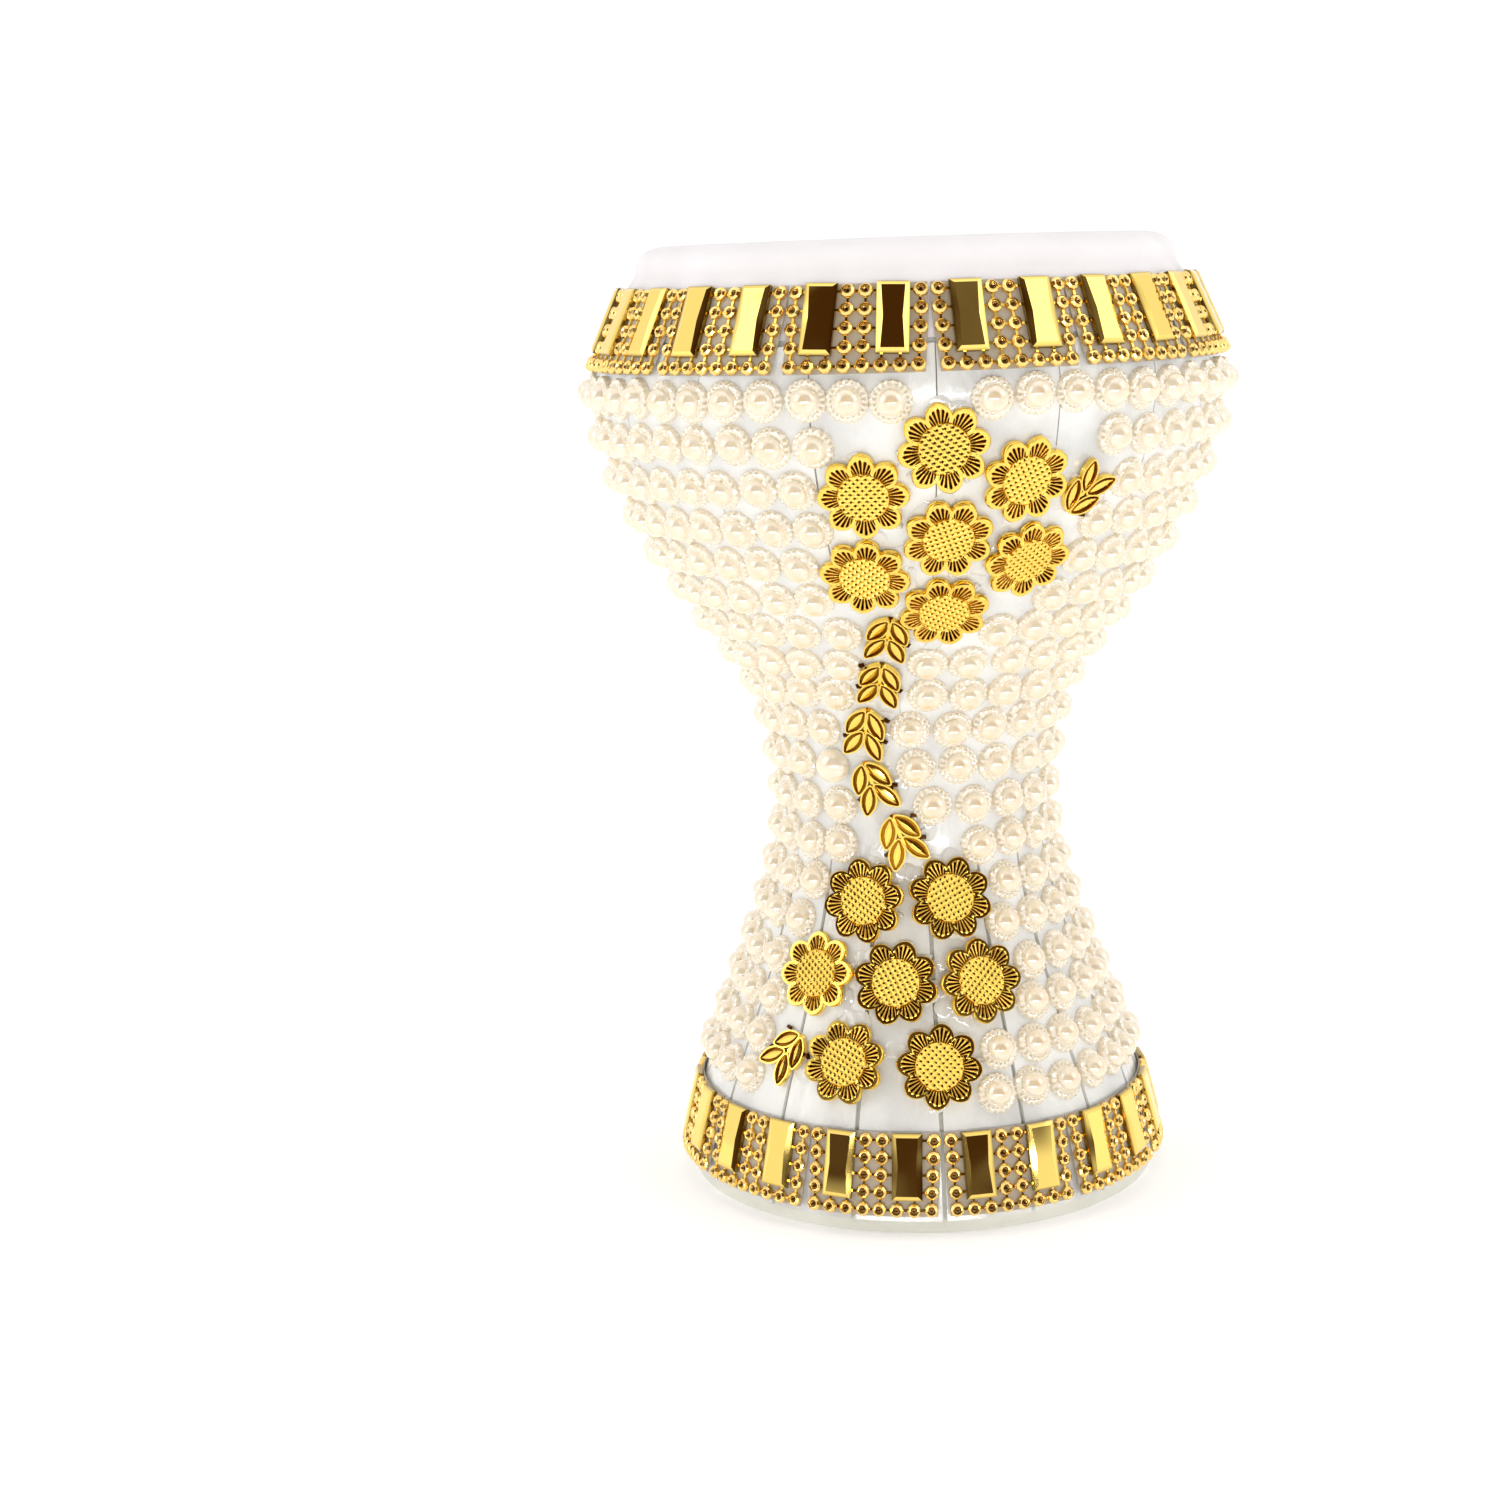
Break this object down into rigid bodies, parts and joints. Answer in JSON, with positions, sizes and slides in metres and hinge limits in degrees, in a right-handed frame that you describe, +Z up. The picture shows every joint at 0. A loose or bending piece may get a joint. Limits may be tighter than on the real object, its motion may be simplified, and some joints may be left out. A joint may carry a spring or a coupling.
{
  "type": "darbuka",
  "caption": "Hollow goblet-shaped clay hand drum with a glued skin, a white slit covering, gold ribbons, gold flowers and leaves, and rows of half-pearls.",
  "frame": {"origin": "centre of the foot, in the plane the foot stands on", "axes": "+Z up along the drum's axis from the foot to the head; -Y is the dressed front with the gold flowers and leaves; +X is to the right seen from the front"},
  "size_m": [0.1807, 0.1806, 0.26],
  "materials": {
    "clay": "matte white-painted clay",
    "skin": "smooth white drum skin, faintly mottled",
    "cover": "glossy white sheet with creases",
    "ribbon_gold": "mirror-gold coated plastic",
    "gold": "gold-plated plastic",
    "pearl": "pearlescent cream, glossy"
  },
  "bodies": {
    "root": {"clay_shell": "clay", "drum_skin": "skin", "white_cover": "cover", "top_ribbon": "ribbon_gold", "bottom_ribbon": "ribbon_gold", "flower_01": "gold", "flower_02": "gold", "flower_03": "gold", "flower_04": "gold", "flower_05": "gold", "flower_06": "gold", "flower_07": "gold", "flower_08": "gold", "flower_09": "gold", "flower_10": "gold", "flower_11": "gold", "flower_12": "gold", "flower_13": "gold", "flower_14": "gold", "leaf_sprig_1": "gold", "leaf_sprig_2": "gold", "leaf_sprig_3": "gold", "leaf_sprig_4": "gold", "leaf_sprig_5": "gold", "leaf_sprig_6": "gold", "leaf_sprig_7": "gold", "pearl_row_01": "pearl", "pearl_row_02": "pearl", "pearl_row_03": "pearl", "pearl_row_04": "pearl", "pearl_row_05": "pearl", "pearl_row_06": "pearl", "pearl_row_07": "pearl", "pearl_row_08": "pearl", "pearl_row_09": "pearl", "pearl_row_10": "pearl", "pearl_row_11": "pearl", "pearl_row_12": "pearl", "pearl_row_13": "pearl", "pearl_row_14": "pearl", "pearl_row_15": "pearl", "pearl_row_16": "pearl", "pearl_row_17": "pearl", "pearl_row_18": "pearl", "pearl_row_19": "pearl", "plain_pearl": "pearl"}
  },
  "joints": []
}
